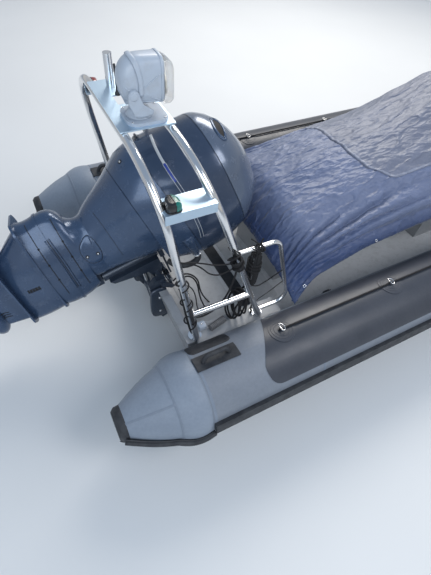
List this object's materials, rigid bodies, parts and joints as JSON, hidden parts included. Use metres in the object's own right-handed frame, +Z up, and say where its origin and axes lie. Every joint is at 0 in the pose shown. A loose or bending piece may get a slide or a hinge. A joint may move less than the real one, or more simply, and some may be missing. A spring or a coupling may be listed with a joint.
{
  "type": "rigid-hull inflatable boat with outboard engine",
  "caption": "Open rigid-hull inflatable boat with a stern arch, a covered console and seats, and an outboard engine tilted up.",
  "frame": {"origin": "on the centreline at the waterline, half way between the cone ends and the bow", "axes": "+X to the bow, +Y to port, +Z up"},
  "size_m": [7.1733, 2.4426, 2.3013],
  "materials": {
    "tube_grey": "matt coated fabric",
    "tube_dark": "matt coated fabric",
    "rubber_black": "matt rubber",
    "gelcoat": "gelcoat",
    "deck_grey": "moulded grip",
    "stainless": "polished tube",
    "plate_metal": "brushed",
    "lamp_green": "dark lens",
    "lamp_red": "dark lens",
    "white_plastic": "satin",
    "clear_cover": "clear",
    "engine_blue": "metallic lacquer",
    "engine_dark": "satin",
    "propeller_metal": "gloss",
    "cover_cloth": "proofed cloth",
    "rope_black": "braided"
  },
  "bodies": {
    "boat": {"tube_starboard": "tube_grey", "tube_port": "tube_grey", "bow_tube_starboard": "tube_grey", "bow_tube_port": "tube_grey", "cone_starboard": "tube_grey", "cone_port": "tube_grey", "cone_caps": "rubber_black", "strakes_starboard": "rubber_black", "strakes_port": "rubber_black", "dark_panel_starboard": "tube_dark", "dark_panel_port": "tube_dark", "lifeline_patches": "rubber_black", "lifelines": "rope_black", "tube_handles": "rubber_black", "hull": "gelcoat", "deck": "deck_grey", "fore_deck": "deck_grey", "transom": "gelcoat", "quarter_mouldings": "gelcoat", "bow_moulding": "gelcoat", "bow_bollard": "stainless", "arch_aft": "stainless", "arch_forward": "stainless", "arch_feet": "stainless", "arch_rungs": "stainless", "hand_hoops": "stainless", "lamp_shelves": "plate_metal", "lamp_starboard": "lamp_green", "lamp_port": "lamp_red", "arch_top_plate": "plate_metal", "tow_post": "stainless", "searchlight_base": "white_plastic", "seat_pod": "gelcoat", "console": "gelcoat", "cover": "cover_cloth", "clamp_brackets": "engine_dark", "tilt_cylinder": "engine_dark"},
    "swivel": {"swivel_bracket": "engine_dark"},
    "tilt_rod": {"tilt_rod": "stainless"},
    "steering_ram": {"steering_ram": "stainless"},
    "engine": {"steering_yokes": "engine_dark", "cowl": "engine_blue", "cowl_lower": "engine_blue", "cowl_top": "engine_blue", "apron": "engine_blue", "midsection": "engine_blue", "gearcase": "engine_blue"},
    "propeller": {"propeller": "propeller_metal"},
    "light_yoke": {"searchlight_yoke": "white_plastic"},
    "light_head": {"searchlight_head": "white_plastic", "searchlight_cover": "clear_cover"}
  },
  "joints": [
    {"name": "engine_tilt", "type": "hinge", "parent": "boat", "child": "swivel", "pos_m": [-2.57, 0, 0.42], "axis": [0, 1, 0], "range_deg": [-78, 0]},
    {"name": "engine_steer", "type": "hinge", "parent": "swivel", "child": "engine", "pos_m": [-2.60365, 0, 0.54557], "axis": [0.9659, 0, 0.2588], "range_deg": [-10, 50]},
    {"name": "propeller_spin", "type": "hinge", "parent": "engine", "child": "propeller", "pos_m": [-3.71043, 0.15733, 0.69652], "axis": [0.2432, -0.342, -0.9077], "continuous": true},
    {"name": "tilt_ram_slide", "type": "slide", "parent": "boat", "child": "tilt_rod", "axis": [-0.1783, 0, 0.984], "range_m": [-0.12252, 0]},
    {"name": "steering_ram_slide", "type": "slide", "parent": "swivel", "child": "steering_ram", "axis": [0, 1, 0], "range_m": [-0.05, 0.18]},
    {"name": "searchlight_pan", "type": "hinge", "parent": "boat", "child": "light_yoke", "pos_m": [-2.645, -0.162, 1.6123], "axis": [0, 0, 1], "range_deg": [-170, 170]},
    {"name": "searchlight_tilt", "type": "hinge", "parent": "light_yoke", "child": "light_head", "pos_m": [-2.684, -0.162, 1.7233], "axis": [0, 1, 0], "range_deg": [-30, 12]}
  ],
  "couplings": [
    {"joint": "tilt_ram_slide", "follows": "engine_tilt", "m_per_rad": 0.089633},
    {"joint": "steering_ram_slide", "follows": "engine_steer", "m_per_rad": 0.18333}
  ]
}
